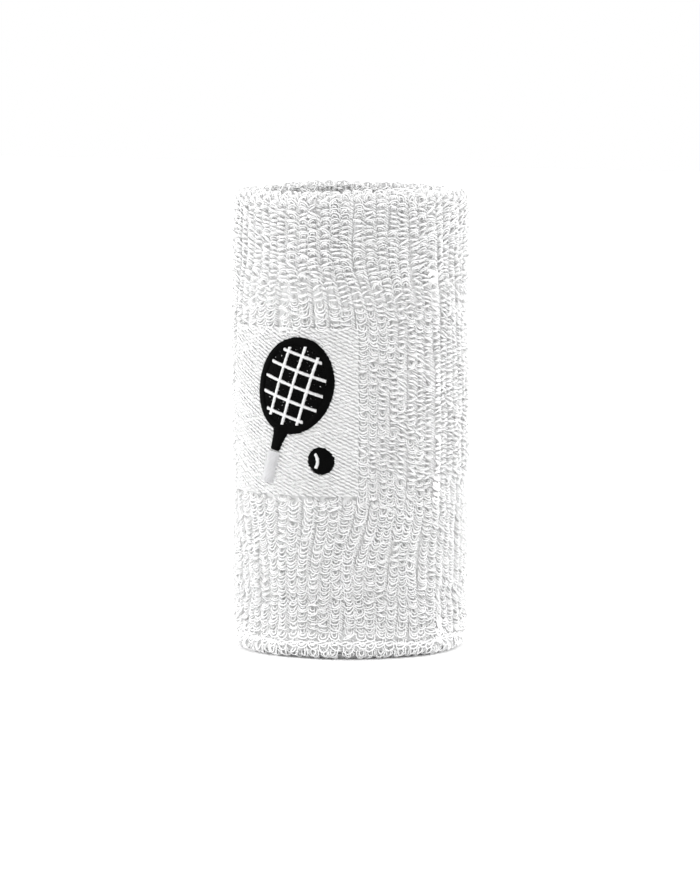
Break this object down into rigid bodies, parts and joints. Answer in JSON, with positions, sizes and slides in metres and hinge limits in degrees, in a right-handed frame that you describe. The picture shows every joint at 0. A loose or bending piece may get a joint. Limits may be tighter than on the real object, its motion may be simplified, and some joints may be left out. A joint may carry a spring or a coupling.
{
  "type": "sweat wristband",
  "caption": "Long tubular terry sweatband for the wrist, folded double, with elastic in both walls and an embroidered racket-and-ball panel.",
  "frame": {"origin": "centre of the bottom rim, on the surface that the band stands on", "axes": "+Z along the band from the rim nearer the closing seam; the embroidered panel is centred on -Y; +X is to the right of the panel"},
  "size_m": [0.0616, 0.0617, 0.12],
  "materials": {
    "terry_loops": "white cotton terry loops, matt",
    "ground_knit": "white plain knit under the loops, matt",
    "elastic_yarn": "covered elastic yarn, off-white, matt",
    "seam_thread": "white textured overlock thread",
    "bobbin_thread": "white spun bobbin thread",
    "stabiliser": "thin white non-woven backing",
    "white_embroidery": "white embroidery thread, slight sheen",
    "black_embroidery": "black embroidery thread, slight sheen",
    "grey_embroidery": "light grey embroidery thread, slight sheen"
  },
  "bodies": {
    "root": {"terry_pile_tube": "terry_loops", "ground_knit_tube": "ground_knit", "elastic_yarn_outer_wall": "elastic_yarn", "elastic_yarn_inner_wall": "elastic_yarn", "closing_seam_thread": "seam_thread", "bobbin_thread": "bobbin_thread", "embroidery_stabiliser": "stabiliser", "panel_fill_stitching": "white_embroidery", "racket_head_stitching": "black_embroidery", "racket_string_stitching": "white_embroidery", "racket_throat_stitching": "black_embroidery", "racket_grip_stitching": "grey_embroidery", "ball_stitching": "black_embroidery", "ball_seam_stitching": "white_embroidery"}
  },
  "joints": []
}
